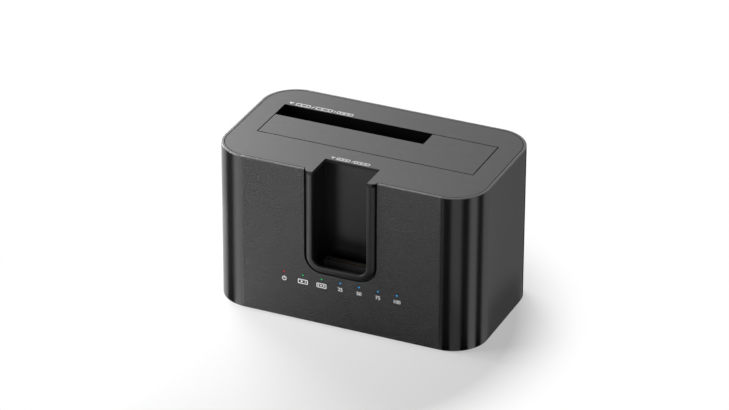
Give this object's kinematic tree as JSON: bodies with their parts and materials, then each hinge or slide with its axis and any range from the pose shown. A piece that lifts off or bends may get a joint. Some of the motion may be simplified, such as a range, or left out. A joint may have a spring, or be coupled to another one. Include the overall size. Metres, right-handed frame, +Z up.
{
  "type": "drive duplicator",
  "caption": "Upright black dual-bay drive dock and duplicator: sprung door over a drive bay with a small slot, front card pocket, status lights, rear ports, power rocker and copy button.",
  "frame": {"origin": "middle of the box round the whole part, on the surface that the feet stand on", "axes": "+X to the right seen from the front, along the length; +Y to the back; +Z up"},
  "size_m": [0.127, 0.0734, 0.076],
  "materials": {
    "sleeve_black": "fine leather-like moulded texture on the flats, smoother on the corners",
    "cover_black": "fine matt",
    "door_black": "fine matt",
    "well_black": "matt",
    "pocket_black": "satin to glossy",
    "foot_rubber": "soft matt",
    "board_green": "solder resist over glass fibre",
    "socket_black": "fine matt",
    "control_black": "satin",
    "stem_white": "smooth",
    "chip_black": "moulded epoxy",
    "contact_gold": "thin gold plating",
    "bright_metal": "bright tin plate",
    "tongue_black": "smooth",
    "spring_steel": "drawn wire",
    "screw_steel": "zinc plated",
    "light_red": "clear rod, lit red",
    "light_green": "clear rod, lit green",
    "light_blue": "clear rod, lit blue",
    "led_white": "clear resin"
  },
  "bodies": {
    "case": {"outer_sleeve": "sleeve_black", "top_cover": "cover_black", "drive_well": "well_black", "base_cover": "well_black", "card_pocket": "pocket_black", "foot_front_left": "foot_rubber", "foot_front_right": "foot_rubber", "foot_back_right": "foot_rubber", "foot_back_left": "foot_rubber", "main_board": "board_green", "sata_socket": "socket_black", "card_socket": "socket_black", "power_inlet": "socket_black", "switch_frame": "socket_black", "drive_bridge": "chip_black", "card_bridge": "chip_black", "memory_chip": "chip_black", "inductors": "chip_black", "push_switch": "chip_black", "sata_contacts": "contact_gold", "card_contacts": "contact_gold", "usb_shell": "bright_metal", "inlet_pin": "bright_metal", "crystals": "bright_metal", "capacitors": "bright_metal", "usb_tongue": "tongue_black", "door_pin": "spring_steel", "cover_screws": "screw_steel", "base_screws": "screw_steel", "well_screws": "screw_steel", "board_screws": "screw_steel", "light_pipe_1": "light_red", "light_pipe_2": "light_green", "light_pipe_3": "light_green", "light_pipe_4": "light_blue", "light_pipe_5": "light_blue", "light_pipe_6": "light_blue", "light_pipe_7": "light_blue", "status_leds": "led_white"},
    "door": {"drive_door": "door_black", "door_spring": "spring_steel"},
    "rocker": {"power_rocker": "control_black"},
    "button": {"copy_button": "control_black", "button_stem": "stem_white"}
  },
  "joints": [
    {"name": "door_hinge", "type": "hinge", "parent": "case", "child": "door", "pos_m": [0, -0.01125, 0.072], "axis": [-1, 0, 0], "range_deg": [0, 88], "stiffness_Nm_per_rad": 0.004, "springref_deg": -57.3},
    {"name": "rocker_tilt", "type": "hinge", "parent": "case", "child": "rocker", "pos_m": [0.012, 0.03085, 0.0236], "axis": [0, 0, -1], "range_deg": [0, 18]},
    {"name": "button_press", "type": "slide", "parent": "case", "child": "button", "axis": [0, -1, 0], "range_m": [0, 0.0005], "stiffness_N_per_m": 500}
  ]
}
